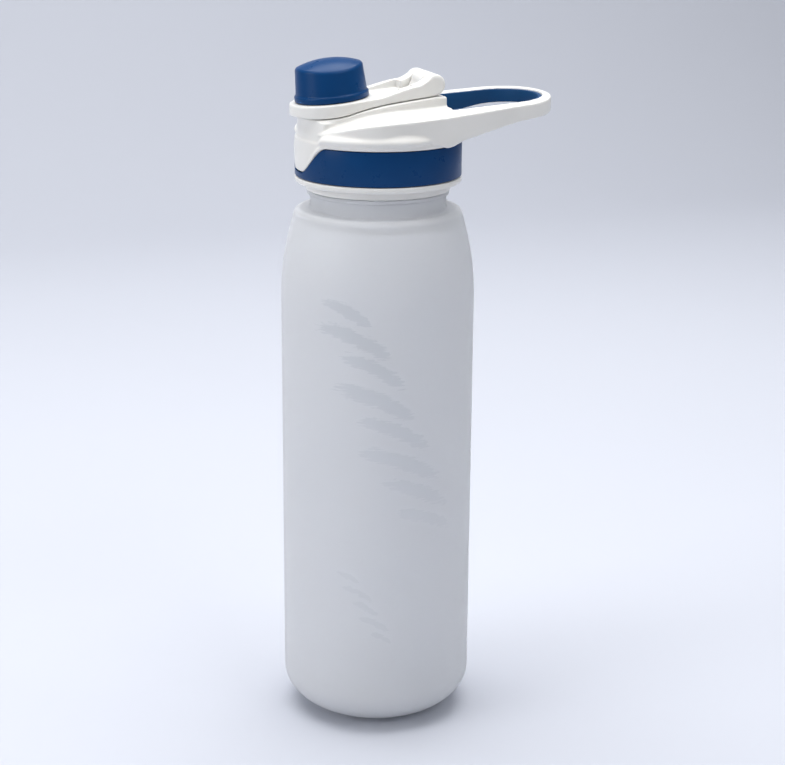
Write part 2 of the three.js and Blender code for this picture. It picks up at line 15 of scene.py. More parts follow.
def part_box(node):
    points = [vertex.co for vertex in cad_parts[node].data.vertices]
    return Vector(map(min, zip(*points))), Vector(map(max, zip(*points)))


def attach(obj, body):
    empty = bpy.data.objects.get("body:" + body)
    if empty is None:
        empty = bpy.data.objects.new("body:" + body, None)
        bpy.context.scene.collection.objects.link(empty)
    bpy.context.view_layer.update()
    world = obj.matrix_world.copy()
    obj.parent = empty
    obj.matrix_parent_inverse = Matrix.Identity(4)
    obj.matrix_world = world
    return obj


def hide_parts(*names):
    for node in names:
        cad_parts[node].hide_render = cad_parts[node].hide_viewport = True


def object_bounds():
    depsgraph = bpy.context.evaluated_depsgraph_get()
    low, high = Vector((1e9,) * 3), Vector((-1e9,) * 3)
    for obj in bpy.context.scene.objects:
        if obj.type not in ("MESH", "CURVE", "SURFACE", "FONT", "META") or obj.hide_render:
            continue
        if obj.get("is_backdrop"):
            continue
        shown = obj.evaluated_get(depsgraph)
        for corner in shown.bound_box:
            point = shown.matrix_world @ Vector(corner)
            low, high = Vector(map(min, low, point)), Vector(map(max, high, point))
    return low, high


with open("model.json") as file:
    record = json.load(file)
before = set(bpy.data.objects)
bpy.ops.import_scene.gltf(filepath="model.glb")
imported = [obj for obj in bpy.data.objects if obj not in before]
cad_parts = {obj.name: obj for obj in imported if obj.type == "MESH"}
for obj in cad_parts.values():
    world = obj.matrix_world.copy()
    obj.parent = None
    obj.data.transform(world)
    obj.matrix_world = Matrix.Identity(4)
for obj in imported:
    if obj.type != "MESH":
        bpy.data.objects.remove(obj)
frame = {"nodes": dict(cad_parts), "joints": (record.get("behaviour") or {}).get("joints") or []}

cad_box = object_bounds()
print("the frame holds", len(frame["nodes"]), "nodes")

# %% [markdown]
# ## Levels and places
# Every place starts from the frame's boxes and its hinge, so the looks follow the model. The
# pieces are drawn in millimetres, as a bottle maker draws them, and `MM` takes them to metres.

# %% Places from the frame
MM = 0.001
GAP = 0.3  # between pieces that sit on or in each other


def box_mm(node):
    low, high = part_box(node)
    return low / MM, high / MM


body_radius = box_mm("bottle_body")[1].x
rim = box_mm("bottle_body")[1].z
cap_base = box_mm("screw_cap")[0].z
collar_radius = box_mm("collar_band")[1].x
band_low = box_mm("collar_band")[0].z
shell_base = box_mm("collar_band")[1].z + GAP
loop_tip = box_mm("lid_shell")[1].x
hinge = next(joint for joint in frame["joints"] if joint["name"] == "flip_hinge")
hinge_x = hinge["pos_m"][0] / MM
hinge_z = hinge["pos_m"][2] / MM
print("body radius", round(body_radius, 1), "mm, rim", round(rim, 1), "mm, hinge", round(hinge_z, 1))

# %% [markdown]
# ## Turned pieces
# Most of this bottle was turned or moulded round an axis, so a profile spun round Z makes it.
# A full spin merges its last ring with its first. A small bevel on each sharp ring gives the
# soft edge that a mould leaves, which catches the light as the real edge does.


# %% Spin a profile
SHARP = math.radians(28)


def arc(centre_r, centre_z, across, up, start, end, steps):
    """Points on an ellipse from start to end, in degrees from the outward direction."""
    points = []
    for i in range(steps + 1):
        turn = math.radians(start + (end - start) * i / steps)
        points.append((centre_r + across * math.cos(turn), centre_z + up * math.sin(turn)))
    return points


def round_edges(bm, width, segments=3):
    """Bevels every edge that turns by more than SHARP."""
    sharp = [e for e in bm.edges if e.is_manifold and e.calc_face_angle() > SHARP]
    bmesh.ops.bevel(
        bm,
        geom=sharp,
        offset=width,
        offset_type="OFFSET",
        affect="EDGES",
        segments=segments,
        profile=0.5,
        material=-1,
        clamp_overlap=True,
    )


def spun(profile, steps=160, loop=False, edge=0.25, segments=3):
    """A bmesh turned round Z from (radius, height) points, with its sharp rings rounded."""
    bm = bmesh.new()
    verts = [bm.verts.new((r, 0, z)) for r, z in profile]
    for a, b in zip(verts, verts[1:]):
        bm.edges.new((a, b))
    if loop:
        bm.edges.new((verts[-1], verts[0]))
    bmesh.ops.spin(
        bm,
        geom=bm.verts[:] + bm.edges[:],
        axis=(0, 0, 1),
        cent=(0, 0, 0),
        steps=steps,
        angle=2 * math.pi,
        use_merge=True,
    )
    bmesh.ops.remove_doubles(bm, verts=bm.verts[:], dist=1e-4)
    bmesh.ops.recalc_face_normals(bm, faces=bm.faces[:])
    if edge:
        round_edges(bm, edge, segments)
    return bm


# %% [markdown]
# Each finished piece is scaled from millimetres to metres in its mesh, so its object stays at
# the origin, and is shaded smooth except across its sharp edges.


# %% Finish a piece
CREASE = math.radians(35)  # shading breaks across edges that turn by more than this


def piece(name, bm, body, material):
    bmesh.ops.scale(bm, verts=bm.verts[:], vec=(MM, MM, MM))
    mesh = bpy.data.meshes.new(name)
    bm.to_mesh(mesh)
    bm.free()
    mesh.shade_smooth()
    mesh.set_sharp_from_angle(angle=CREASE)
    mesh.materials.append(material)
    obj = bpy.data.objects.new(name, mesh)
    bpy.context.scene.collection.objects.link(obj)
    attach(obj, body)
    print(name, sum(len(p.vertices) - 2 for p in mesh.polygons), "triangles")
    return obj


# %% [markdown]
# ## Moulded pieces
# A moulded shell is many simple volumes grown into one, with a soft fillet wherever two meet.
# The volumes are modelled one by one, booleans share or cut them, a voxel remesh joins them,
# and a few smoothing passes leave the small fillets of a mould.


# %% Join, share and cut volumes
def held(bm):
    mesh = bpy.data.meshes.new("held")
    bm.to_mesh(mesh)
    bm.free()
    obj = bpy.data.objects.new("held", mesh)
    bpy.context.scene.collection.objects.link(obj)
    return obj


def released(obj):
    """The object's mesh with its modifiers applied, as a bmesh. The object is removed."""
    bpy.context.view_layer.update()
    shaped = obj.evaluated_get(bpy.context.evaluated_depsgraph_get())
    bm = bmesh.new()
    bm.from_mesh(shaped.to_mesh())
    shaped.to_mesh_clear()
    mesh = obj.data
    bpy.data.objects.remove(obj)
    bpy.data.meshes.remove(mesh)
    return bm


def combined(first, operation, *others):
    """One closed volume with others joined (UNION), cut (DIFFERENCE) or shared (INTERSECT)."""
    obj = held(first)
    tools = [held(bm) for bm in others]
    for tool in tools:
        modifier = obj.modifiers.new("combined", "BOOLEAN")
        modifier.operation = operation
        modifier.solver = "MANIFOLD"
        modifier.object = tool
    result = released(obj)
    for tool in tools:
        mesh = tool.data
        bpy.data.objects.remove(tool)
        bpy.data.meshes.remove(mesh)
    return result


def grown(size, passes, *parts, kept=1.0):
    """Overlapping volumes made one by a voxel remesh, with fillets from smoothing passes."""
    whole = bmesh.new()
    for part in parts:
        mesh = bpy.data.meshes.new("part")
        part.to_mesh(mesh)
        part.free()
        whole.from_mesh(mesh)
        bpy.data.meshes.remove(mesh)
    obj = held(whole)
    grid = obj.modifiers.new("grid", "REMESH")
    grid.mode = "VOXEL"
    grid.voxel_size = size
    soft = obj.modifiers.new("soft", "SMOOTH")
    soft.factor = 0.5
    soft.iterations = passes
    fewer = obj.modifiers.new("fewer", "DECIMATE")
    fewer.ratio = kept
    return released(obj)


# %% [markdown]
# Flat outlines become volumes in two ways: a slab is drawn in plan and grown upwards, and a bar
# is drawn from the side and grown along Y, which is the way that the hinge pin points.


# %% Slabs, bars and rods
def prism(points, depth):
    bm = bmesh.new()
    bm.faces.new([bm.verts.new(point) for point in points])
    pushed = bmesh.ops.extrude_face_region(bm, geom=bm.faces[:])
    moved = [v for v in pushed["geom"] if isinstance(v, bmesh.types.BMVert)]
    bmesh.ops.translate(bm, verts=moved, vec=depth)
    bmesh.ops.recalc_face_normals(bm, faces=bm.faces[:])
    return bm


def slab(outline, low, high):
    return prism([(x, y, low) for x, y in outline], (0, 0, high - low))


def bar(profile, half_width):
    return prism([(x, -half_width, z) for x, z in profile], (0, 2 * half_width, 0))


def disc(radius, low, high, segments=128):
    bm = bmesh.new()
    place = Matrix.Translation((0, 0, (low + high) / 2))
    bmesh.ops.create_cone(
        bm,
        cap_ends=True,
        segments=segments,
        radius1=radius,
        radius2=radius,
        depth=high - low,
        matrix=place,
    )
    return bm


def rod(radius, half_width, middle=0.0, edge=0.0):
    """A closed cylinder along the hinge's axis."""
    bm = disc(radius, -half_width, half_width, segments=64)
    if edge:
        round_edges(bm, edge)
    turn = Matrix.Rotation(math.pi / 2, 4, "X")
    place = Matrix.Translation((hinge_x, middle, hinge_z))
    bmesh.ops.transform(bm, matrix=place @ turn, verts=bm.verts[:])
    return bm


def smoothstep(value, low, high):
    share = min(1.0, max(0.0, (value - low) / (high - low)))
    return share * share * (3 - 2 * share)


def smooth_line(points):
    """Points along a smooth line through the given ones."""
    steps = 16  # from one given point to the next
    line = []
    for i in range(len(points) - 1):
        ends = [points[max(0, i - 1)], points[i], points[i + 1], points[min(len(points) - 1, i + 2)]]
        a, b, c, d = [Vector(point) for point in ends]
        for step in range(steps):
            t = step / steps
            bend = b + 0.5 * t * (c - a + t * (2 * a - 5 * b + 4 * c - d + t * (3 * (b - c) + d - a)))
            line.append(tuple(bend))
    return line + [tuple(points[-1])]


def height_on(line, x):
    """The height of a line of (x, z) points at x."""
    for (x0, z0), (x1, z1) in zip(line, line[1:]):
        if x <= x1:
            return z0 + (z1 - z0) * max(0.0, (x - x0) / (x1 - x0))
    return line[-1][1]


# %% [markdown]
# ## Finishes
# Each finish is one Principled shader with a pattern in Object coordinates. Moulded plastic is
# never perfectly even: its colour clouds slightly, its gloss varies with handling and it has a
# fine orange-peel texture, so three noises of different scales drive these.


# %% Node helpers
def new_material(name):
    material = bpy.data.materials.new(name)
    material.use_nodes = True
    tree = material.node_tree
    coords = tree.nodes.new("ShaderNodeTexCoord")
    return material, tree, tree.nodes["Principled BSDF"], coords.outputs["Object"]


def noise(tree, where, scale, detail=3.0, rough=0.5):
    node = tree.nodes.new("ShaderNodeTexNoise")
    node.inputs["Scale"].default_value = scale
    node.inputs["Detail"].default_value = detail
    node.inputs["Roughness"].default_value = rough
    tree.links.new(where, node.inputs["Vector"])
    return node.outputs["Fac"]


def ranged(tree, value, low, high, from_low=0.3, from_high=0.7):
    node = tree.nodes.new("ShaderNodeMapRange")
    node.inputs["From Min"].default_value = from_low
    node.inputs["From Max"].default_value = from_high
    node.inputs["To Min"].default_value = low
    node.inputs["To Max"].default_value = high
    tree.links.new(value, node.inputs["Value"])
    return node.outputs["Result"]


def socket_or_value(tree, target, value):
    if isinstance(value, bpy.types.NodeSocket):
        tree.links.new(value, target)
    else:
        target.default_value = value


def maths(tree, operation, first, second=0.0):
    node = tree.nodes.new("ShaderNodeMath")
    node.operation = operation
    socket_or_value(tree, node.inputs[0], first)
    socket_or_value(tree, node.inputs[1], second)
    return node.outputs[0]


def mixed(tree, factor, first, second):
    """Mixes two colours, or colour sockets, by a factor socket."""
    node = tree.nodes.new("ShaderNodeMix")
    node.data_type = "RGBA"
    tree.links.new(factor, node.inputs[0])
    for place, value in ((6, first), (7, second)):
        colour = (*value, 1) if isinstance(value, tuple) else value
        socket_or_value(tree, node.inputs[place], colour)
    return node.outputs[2]


def bumped(tree, shader, height, strength, distance):
    node = tree.nodes.new("ShaderNodeBump")
    node.inputs["Strength"].default_value = strength
    node.inputs["Distance"].default_value = distance
    tree.links.new(height, node.inputs["Height"])
    tree.links.new(node.outputs["Normal"], shader.inputs["Normal"])


# %% Moulded plastics
def moulded(name, colour, shade, rough, peel=0.12, soft=0.0):
    """A plastic that clouds from its colour to its shade, with uneven gloss and fine peel."""
    material, tree, shader, where = new_material(name)
    cloud = ranged(tree, noise(tree, where, 55, 4), 0, 1)
    tree.links.new(mixed(tree, cloud, colour, shade), shader.inputs["Base Color"])
    handled = ranged(tree, noise(tree, where, 160, 5, 0.6), rough[0], rough[1])
    tree.links.new(handled, shader.inputs["Roughness"])
    bumped(tree, shader, noise(tree, where, 2600, 2), peel, 0.05 * MM)
    shader.inputs["Subsurface Weight"].default_value = soft
    shader.inputs["Subsurface Radius"].default_value = (1.0, 0.9, 0.8)
    shader.inputs["Subsurface Scale"].default_value = 1 * MM
    shader.inputs["IOR"].default_value = 1.49
    return material


lid_white = moulded("lid_white", (0.81, 0.80, 0.77), (0.77, 0.76, 0.73), (0.28, 0.40), 0.10, 0.2)
deep_blue = moulded("deep_blue", (0.0025, 0.047, 0.160), (0.0020, 0.040, 0.138), (0.26, 0.36))
grip_blue = moulded("grip_blue", (0.005, 0.057, 0.165), (0.004, 0.048, 0.140), (0.40, 0.52), 0.2)
milky_silicone = moulded("milky_silicone", (0.74, 0.76, 0.78), (0.68, 0.70, 0.73), (0.4, 0.55), 0.1, 0.4)
for blue, level in ((deep_blue, 0.15), (grip_blue, 0.2)):
    blue.node_tree.nodes["Principled BSDF"].inputs["Specular IOR Level"].default_value = level
print("moulded finishes:", [m.name for m in (lid_white, deep_blue, grip_blue, milky_silicone)])

# %% [markdown]
# The hinge pin is drawn steel wire: metal, with fine lines that run along its length.

# %% Pin steel
drawn_steel, tree, shader, where = new_material("drawn_steel")
stretch = tree.nodes.new("ShaderNodeMapping")
stretch.inputs["Scale"].default_value = (1, 0.04, 1)
tree.links.new(where, stretch.inputs["Vector"])
drawn = noise(tree, stretch.outputs["Vector"], 4000, 3)
steel = mixed(tree, drawn, (0.55, 0.56, 0.58), (0.42, 0.43, 0.45))
shader.inputs["Metallic"].default_value = 1.0
tree.links.new(steel, shader.inputs["Base Color"])
tree.links.new(ranged(tree, drawn, 0.22, 0.4), shader.inputs["Roughness"])
bumped(tree, shader, drawn, 0.1, 0.02 * MM)
print("pin finish:", drawn_steel.name)

# %% [markdown]
# The bottle is clear plastic with an etched, frosted outside. Light goes in and comes out
# scattered, so the shader is partly transmitting with a high roughness. The decoration is a
# group of dry brush dabs in a greyer, glossier ink. Each dab is a bent oval worked out in the
# front plane, and streaky noise along it breaks its edge as dry bristles do.

# %% Frosted plastic with brush dabs
view_turn = math.radians(18)  # how far round from -Y the front and the camera are
dab_shift = 2.4  # millimetres that the ragged noise moves a dab's edge, at most
frosted, tree, shader, where = new_material("frosted_clear")
facing = tree.nodes.new("ShaderNodeMapping")
facing.inputs["Rotation"].default_value = (0, 0, view_turn)
facing.inputs["Scale"].default_value = (1 / MM, 1 / MM, 1 / MM)
tree.links.new(where, facing.inputs["Vector"])
front = facing.outputs["Vector"]  # millimetres: X across the front, Z up

ragged = tree.nodes.new("ShaderNodeTexNoise")
ragged.inputs["Scale"].default_value = 0.55
ragged.inputs["Detail"].default_value = 5
tree.links.new(front, ragged.inputs["Vector"])
shifted = tree.nodes.new("ShaderNodeVectorMath")
shifted.operation = "MULTIPLY_ADD"
shifted.inputs[1].default_value = (dab_shift, dab_shift, dab_shift)
tree.links.new(ragged.outputs["Color"], shifted.inputs[0])
tree.links.new(front, shifted.inputs[2])
brushed = shifted.outputs["Vector"]


def dab(x, z, length, tilt, width, bend):
    """How far inside one dab a point is: 1 on its spine, 0 at its edge, below 0 outside."""
    turn = math.radians(tilt)
    to_dab = tree.nodes.new("ShaderNodeVectorMath")
    to_dab.operation = "SUBTRACT"
    tree.links.new(brushed, to_dab.inputs[0])
    to_dab.inputs[1].default_value = (x + dab_shift / 2, 0, z + dab_shift / 2)
    spine = tree.nodes.new("ShaderNodeVectorMath")
    spine.operation = "DOT_PRODUCT"
    spine.inputs[1].default_value = (math.cos(turn), 0, math.sin(turn))
    aside = tree.nodes.new("ShaderNodeVectorMath")
    aside.operation = "DOT_PRODUCT"
    aside.inputs[1].default_value = (-math.sin(turn), 0, math.cos(turn))
    for dot in (spine, aside):
        tree.links.new(to_dab.outputs["Vector"], dot.inputs[0])
    along = maths(tree, "DIVIDE", spine.outputs["Value"], length / 2)
    bow = maths(tree, "MULTIPLY", maths(tree, "MULTIPLY", along, along), bend)
    across = maths(tree, "DIVIDE", maths(tree, "ADD", aside.outputs["Value"], bow), width / 2)
    blunt = maths(tree, "POWER", maths(tree, "ABSOLUTE", along), 4)
    round_side = maths(tree, "POWER", maths(tree, "ABSOLUTE", across), 2)
    return maths(tree, "SUBTRACT", 1, maths(tree, "ADD", blunt, round_side))


def widest(values):
    result = values[0]
    for value in values[1:]:
        result = maths(tree, "MAXIMUM", result, value)
    return result


# x, z, length, tilt in degrees, width and bend of each dab, in millimetres
large_dabs = [
    (-11, 168, 20, -24, 5.0, 1.6),
    (-8, 158, 30, -22, 6.4, 2.4),
    (-1, 147, 27, -26, 5.8, 2.0),
    (0, 135, 34, -23, 6.8, 2.6),
    (7, 123, 29, -25, 6.0, 2.2),
    (9, 111, 33, -22, 6.6, 2.6),
    (15, 99, 27, -26, 5.8, 2.0),
    (18, 88, 22, -24, 5.0, 1.6),
]
small_dabs = [
    (-10, 65, 10, -26, 2.2, 0.8),
    (-7, 59, 13, -24, 2.6, 1.0),
    (-4, 53, 11, -27, 2.4, 0.8),
    (-1, 47, 13, -24, 2.6, 1.0),
    (2, 41, 9, -26, 2.0, 0.8),
]
large = widest([dab(*values) for values in large_dabs])
small = widest([dab(*values) for values in small_dabs])
streak_space = tree.nodes.new("ShaderNodeMapping")
streak_space.inputs["Rotation"].default_value = (0, math.radians(-14), 0)
streak_space.inputs["Scale"].default_value = (0.10, 0.3, 1.6)
tree.links.new(front, streak_space.inputs["Vector"])
streaks = noise(tree, streak_space.outputs["Vector"], 1.0, 3, 0.6)
dry = ranged(tree, streaks, -0.55, 0.35, 0.35, 0.65)
inked_large = ranged(tree, maths(tree, "ADD", large, dry), 0, 1, 0.0, 0.35)
inked_small = ranged(tree, maths(tree, "ADD", small, dry), 0, 0.6, 0.0, 0.35)
split = tree.nodes.new("ShaderNodeSeparateXYZ")
tree.links.new(front, split.inputs["Vector"])
on_front = maths(tree, "LESS_THAN", split.outputs["Y"], 0)
fading = ranged(tree, split.outputs["Z"], 0.45, 1, 75, 150)
both_inks = maths(tree, "MAXIMUM", maths(tree, "MULTIPLY", inked_large, fading), inked_small)
ink = maths(tree, "MULTIPLY", both_inks, on_front)

cloud = ranged(tree, noise(tree, where, 30, 4), 0, 1)
frost = mixed(tree, cloud, (0.965, 0.975, 0.995), (0.945, 0.96, 0.985))
tree.links.new(mixed(tree, ink, frost, (0.84, 0.86, 0.885)), shader.inputs["Base Color"])
etched = ranged(tree, noise(tree, where, 420, 5, 0.6), 0.50, 0.60)
glossy = maths(tree, "MULTIPLY", ink, 0.22)
tree.links.new(maths(tree, "SUBTRACT", etched, glossy), shader.inputs["Roughness"])
shader.inputs["Transmission Weight"].default_value = 0.5
shader.inputs["Subsurface Weight"].default_value = 0.3
shader.inputs["Subsurface Radius"].default_value = (1, 1, 1)
shader.inputs["Subsurface Scale"].default_value = 3 * MM
shader.inputs["IOR"].default_value = 1.45
bumped(tree, shader, noise(tree, where, 3500, 3, 0.6), 0.15, 0.05 * MM)
print("brush dabs:", len(large_dabs) + len(small_dabs))

# %% [markdown]
# ## The bottle
# The bottle is blown, so its wall is even and every corner is round: a wide elliptical corner at
# the foot, a straight side, and a shoulder that narrows as a parabola and turns in to the neck.
# One profile, outside and inside, is spun round the axis.

# %% Bottle profile
wall = 2
corner_across, corner_up = 21, 15.5  # the foot's rounded corner
foot_groove = 0.8
shoulder_top = 200
shoulder_length = 34
shoulder_inset = 5.7
shoulder_corner = 2.8
neck_root = 24
neck_plain = 25.45
bead_height = 1.7
bead_high = cap_base - GAP
bead_low = bead_high - bead_height
bead_radius = neck_plain + 1.05
mouth_radius = neck_root - wall


def shoulder(radius, steps):
    """The shoulder's side, from the straight wall up to where its corner starts."""
    rise = shoulder_length - shoulder_corner
    for i in range(steps + 1):
        up = i / steps * rise / shoulder_length
        height = shoulder_top - shoulder_length * (1 - up)
        yield radius - shoulder_inset * up**2, height


foot = body_radius - corner_across
outside = [(0, 0), (0.62 * foot, 0)]
outside += [(0.7 * foot, foot_groove), (0.8 * foot, foot_groove), (0.88 * foot, 0)]
outside += arc(foot, corner_up, corner_across, corner_up, -90, 0, 24)
outside += list(shoulder(body_radius, 16))
corner_centre = outside[-1][0] - shoulder_corner
corner_height = shoulder_top - shoulder_corner
outside += arc(corner_centre, corner_height, shoulder_corner, shoulder_corner, 0, 90, 8)[1:]
neck = [
    (neck_plain + 0.8, shoulder_top),
    (neck_plain + 0.2, shoulder_top + 0.3),
    (neck_plain, shoulder_top + 0.9),
    (neck_plain, bead_low),
    (bead_radius, bead_low + 0.3),
    (bead_radius, bead_high - 0.35),
    (bead_radius - 0.35, bead_high),
    (neck_root, bead_high),
    (neck_root, rim - 0.4),
    (neck_root - 0.4, rim),
    (mouth_radius, rim),
]
inside = [(mouth_radius, corner_height - wall)]
inside += list(reversed(list(shoulder(body_radius - wall, 12))))[1:]
inner_up = corner_up - wall + 0.6  # the inner floor clears the groove
inside += arc(foot, corner_up + 1.4, corner_across - wall, inner_up, 0, -90, 16)
inside += [(0, inside[-1][1])]
bottle = spun(outside + neck + inside, steps=192, edge=0.2)
print("bottle profile", len(outside + neck + inside), "points")

# %% [markdown]
# The neck's screw thread is a small trapezoid wound round the axis: a spin with a step up each
# turn. Its two ends sink into the neck, so that the cap's thread finds its way in.


# %% Screw thread
pitch = 4.0
thread_depth = 1.2
thread_thickness = 1.2


def thread(root, crest, start, turns):
    outward = 1 if crest > root else -1
    sunk = root - 0.8 * outward
    half = thread_thickness / 2
    section = [(sunk, -half), (crest, -half / 2), (crest, half / 2), (sunk, half)]
    bm = bmesh.new()
    face = bm.faces.new([bm.verts.new((r, 0, start + z)) for r, z in section])
    count = round(turns * 64)
    bmesh.ops.spin(
        bm,
        geom=[face] + face.verts[:] + face.edges[:],
        axis=(0, 0, 1),
        cent=(0, 0, 0),
        dvec=(0, 0, pitch * turns / count),
        steps=count,
        angle=2 * math.pi * turns,
    )
    for vert in bm.verts:
        share = (vert.co.z - start) / (pitch * turns)
        radius = vert.co.xy.length
        if abs(radius - crest) < 0.01:
            kept = smoothstep(min(share, 1 - share), -0.05, 0.12)
            vert.co.xy *= (root + (crest - root) * max(0.15, kept)) / radius
    bmesh.ops.remove_doubles(bm, verts=bm.verts[:], dist=1e-4)
    bmesh.ops.recalc_face_normals(bm, faces=bm.faces[:])
    return bm


thread_start = bead_high + 3.4
neck_thread = thread(neck_root, neck_root + thread_depth, thread_start + pitch / 2, 1.25)
bottle = combined(bottle, "UNION", neck_thread)
body_piece = piece("frosted_body", bottle, "bottle", frosted)
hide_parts("bottle_body")

# %% [markdown]
# ## The spout's lean
# The spout, its seal, the knob and its plug share one axis that leans outwards by 6 degrees. They
# are spun upright, then tipped and moved together. The line between the strap and the lid below
# it gives the height of their seat.

# %% Parting line and leaning axis
spout_x = -17.9
strap_end = 15.6  # radius of the strap's round end
strap_hinge = 12.0  # half width at the hinge
strap_thickness = 4.5
knuckle_radius = 3.9
knuckle_split = 5.8
lean = math.radians(6)
parting = smooth_line(
    [
        (spout_x - strap_end - 1, shell_base + 9.6),
        (spout_x - 8.6, shell_base + 9.8),
        (spout_x, shell_base + 10.9),
        (-10, shell_base + 12.8),
        (-2, shell_base + 14.3),
        (8, shell_base + 15.5),
        (hinge_x, hinge_z - knuckle_radius),
    ]
)
seat_z = height_on(parting, spout_x) + strap_thickness + GAP


def leaning(bm):
    tip = Matrix.Translation((spout_x, 0, seat_z)) @ Matrix.Rotation(-lean, 4, "Y")
    bmesh.ops.transform(bm, matrix=tip, verts=bm.verts[:])
    return bm


print("knob seat at", round(seat_z, 2), "mm")

# %% [markdown]
# ## Screw cap, band and gasket
# The cap's skirt and white ring show below the blue band, and the rest of it is hidden under the
# lid. Its roof has a boss that seats the spout, with a passage through it.

# %% Screw cap
skirt_out = 1.4
cap_bore = neck_root + 1.6
cap_outer = cap_bore + 3.4
ring_low = cap_base + 2.8
ring_high = ring_low + 2.3
gasket_thickness = 1.7
gasket_width = 3.2
roof_under = rim + gasket_thickness + 2 * GAP
roof_top = roof_under + 2
cap_profile = [
    (0, roof_under),
    (cap_bore, roof_under),
    (cap_bore, cap_base),
    (cap_bore + skirt_out, cap_base),
    (cap_bore + skirt_out, ring_low),
    (collar_radius - 0.6, ring_low),
    (collar_radius - 0.05, ring_low + 0.45),
    (collar_radius + 0.1, ring_low + 1.0),
    (collar_radius + 0.1, ring_high - 0.4),
    (collar_radius - 0.2, ring_high),
    (cap_outer, ring_high),
    (cap_outer, roof_top),
    (0, roof_top),
]
spout_radius = 9.0
spout_bore = 7.0
seat_low = roof_top + 2.2 - seat_z
boss_top = seat_low + 0.4
boss = combined(
    leaning(disc(spout_radius + 1.6, seat_low - 6, boss_top)),
    "INTERSECT",
    disc(100, roof_under + 0.6, hinge_z),
)
passage = combined(
    leaning(disc(spout_bore - 0.3, seat_low - 12, seat_low + 6)),
    "INTERSECT",
    disc(mouth_radius - 1.8, cap_base, hinge_z),
)
cap_thread = thread(cap_bore, cap_bore - thread_depth, thread_start + pitch, 1.0)
screw_cap = combined(spun(cap_profile, edge=0.2), "UNION", boss, cap_thread)
screw_cap = combined(screw_cap, "DIFFERENCE", passage)
cap_piece = piece("threaded_cap", screw_cap, "lid", lid_white)
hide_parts("screw_cap")

# %% Gasket
gasket_low = rim + GAP
gasket_profile = [
    (neck_root - gasket_width, gasket_low),
    (neck_root, gasket_low),
    (neck_root, gasket_low + gasket_thickness),
    (neck_root - gasket_width, gasket_low + gasket_thickness),
]
gasket = piece(
    "mouth_gasket",
    spun(gasket_profile, loop=True, edge=0.5, segments=4),
    "gasket",
    milky_silicone,
)
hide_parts("cap_gasket")

# %% [markdown]
# A tongue of the white lid hangs over the blue band below the spout. Its edge is a smooth S on
# each side. The band is a plain ring with that same tongue cut out of its outer face.


# %% Tongue shape
tongue_drop = 10.4
tongue_flat = 6  # degrees either side of the spout where the tongue is lowest
tongue_spread = 36  # degrees either side where the tongue has gone
tongue_thickness = 1


def tongue_at(x, y):
    """How far the tongue hangs below the lid's edge, by the angle from the spout."""
    from_spout = abs(math.degrees(math.atan2(y, -x)))
    return tongue_drop * (1 - smoothstep(from_spout, tongue_flat, tongue_spread))


def hung(bm, below):
    """Lowers by the tongue's drop every point that is below a height."""
    for vert in bm.verts:
        if vert.co.z < below:
            vert.co.z -= tongue_at(vert.co.x, vert.co.y)
    return bm


def ring(inner, outer, low, high, edge=0.0, steps=240):
    corners = [(inner, low), (outer, low), (outer, high), (inner, high)]
    return spun(corners, steps=steps, loop=True, edge=edge)


# %% Collar band
band_inner = cap_outer + GAP
band_cut = hung(
    ring(collar_radius - tongue_thickness - GAP, collar_radius + 3, shell_base - GAP, shell_base + 2),
    shell_base,
)
band = combined(
    ring(band_inner, collar_radius, band_low, shell_base - GAP, edge=0.25),
    "DIFFERENCE",
    band_cut,
)
band_piece = piece("blue_band", band, "lid", deep_blue)
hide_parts("collar_band")

# %% [markdown]
# ## The lid shell's outlines
# The lid is one white moulding: a collar over the band, a body that carries the spout, and a
# carry loop. The loop starts as a ridge beside the spout, follows the collar round, then reaches
# out and closes in a rounded end. In plan its outside is one smooth line.

# %% Loop and grip outlines
shell_wall = 2.2
wall_draft = 1.2  # how much the spout-side wall leans in
lip_top = shell_base + 1.9
bulge_top = shell_base + 5.4
loop_cap = 17.8  # length of the rounded end
arm_near = collar_radius - 2.45  # half widths of the loop
arm_far = collar_radius - 4.95
cap_start = loop_tip - loop_cap
loop_start = collar_radius - 8.7
arm_width = 10.4
tip_width = 4


def beside(degrees, out):
    turn = math.radians(degrees)
    radius = collar_radius + out
    return -radius * math.cos(turn), radius * math.sin(turn)


def mirrored_outline(half):
    return half + [(x, -y) for x, y in reversed(half[1:-1])]


loop_half = smooth_line(
    [
        beside(0, 0),
        beside(25, 0),
        beside(48, 0.2),
        beside(70, 0.7),
        beside(90, -0.1),
        (0.5 * collar_radius, arm_near + 1.3),
        (collar_radius, arm_near),
        (cap_start, arm_far),
    ]
)
loop_half += arc(cap_start, 0, loop_cap, arm_far, 90, 0, 32)[1:]
loop_outline = mirrored_outline(loop_half)


def grip_outline(outset, start):
    """The loop's opening: straight at the lid, round at the tip."""
    near = arm_near - arm_width + outset
    far = near - 0.4
    half = [(start, near), (cap_start, far)]
    half += arc(cap_start, 0, loop_cap - tip_width + outset, far, 90, 0, 32)[1:]
    return half + [(x, -y) for x, y in reversed(half[:-1])]


def body_outline(inset):
    """The body under the strap: the collar's arc at the spout, then as wide as the strap."""
    radius = collar_radius - wall_draft - inset
    wide = strap_end - inset
    narrow = strap_hinge + 0.6 - inset
    swing = math.degrees(math.asin(wide / radius))
    half = arc(0, 0, radius, radius, 180, 180 - 0.8 * swing, 16)
    half += arc(spout_x, 0, wide, wide, 122, 90, 8)
    half += [(0.3 * spout_x, wide), (loop_start - inset, narrow)]
    return half + [(x, -y) for x, y in reversed(half[1:])]


print("loop outline", len(loop_outline), "points")

# %% [markdown]
# From the side, the loop's underside leaves the collar near its back edge and rises to the tip.
# Its top slopes outwards like a low roof: one line runs along the body's wall and a lower one
# along the outer edge. Both start at a nose beside the spout and climb towards the tip.

